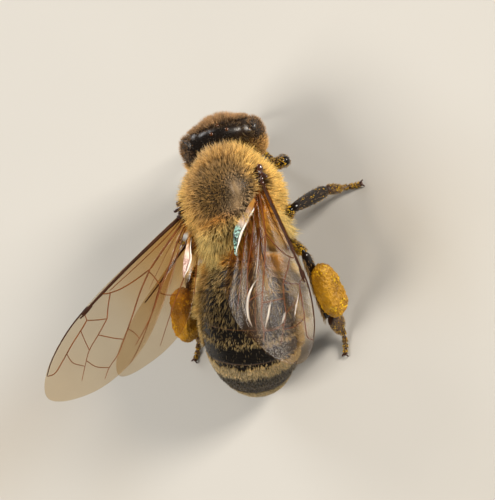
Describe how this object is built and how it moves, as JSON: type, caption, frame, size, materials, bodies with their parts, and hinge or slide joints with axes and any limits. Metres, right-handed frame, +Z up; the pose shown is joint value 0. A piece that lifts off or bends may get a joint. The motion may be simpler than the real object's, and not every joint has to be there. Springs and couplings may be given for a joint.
{
  "type": "honey bee worker model",
  "caption": "Life-size western honey bee worker standing with pollen on its hind legs, one side's wings held out and the other side's folded over its back.",
  "frame": {"origin": "centre of the bounding box at the level of the feet", "axes": "+Z up from the floor, -Y the way the head faces, +X the bee's left"},
  "size_m": [0.013, 0.013, 0.0086],
  "materials": {
    "coat": "soft branched hair, tan to golden, over a dark skin",
    "shell": "dark brown hard cuticle, glossy",
    "tergite": "near-black cuticle plates with brown rims and short pale hair",
    "eye": "dark compound eye, fine facets, glossy",
    "feeler": "dark brown jointed cuticle, satin",
    "leg": "near-black cuticle dusted with pollen",
    "wing": "clear membrane, amber tint, dark brown veins",
    "pollen": "packed ochre pollen with yellow grains"
  },
  "bodies": {
    "root": {"head": "coat", "eye_left": "eye", "eye_right": "eye", "mandibles": "shell", "proboscis": "shell", "antenna_left_scape": "feeler", "antenna_left_flagellum": "feeler", "antenna_right_scape": "feeler", "antenna_right_flagellum": "feeler", "thorax": "coat", "abdomen_1": "tergite", "abdomen_2": "tergite", "abdomen_3": "tergite", "abdomen_4": "tergite", "abdomen_5": "tergite", "abdomen_6": "tergite", "petiole": "shell", "foreleg_left_femur": "leg", "foreleg_left_tibia": "leg", "foreleg_left_tarsus": "leg", "foreleg_right_femur": "leg", "foreleg_right_tibia": "leg", "foreleg_right_tarsus": "leg", "middle_leg_left_femur": "leg", "middle_leg_left_tibia": "leg", "middle_leg_left_tarsus": "leg", "middle_leg_right_femur": "leg", "middle_leg_right_tibia": "leg", "middle_leg_right_tarsus": "leg", "hind_leg_left_femur": "leg", "hind_leg_left_tibia": "leg", "hind_leg_left_tarsus": "leg", "pollen_load_left": "pollen", "hind_leg_right_femur": "leg", "hind_leg_right_tibia": "leg", "hind_leg_right_tarsus": "leg", "pollen_load_right": "pollen", "tegula_left": "shell", "forewing_left": "wing", "hindwing_left": "wing", "tegula_right": "shell", "forewing_right": "wing", "hindwing_right": "wing"}
  },
  "joints": []
}
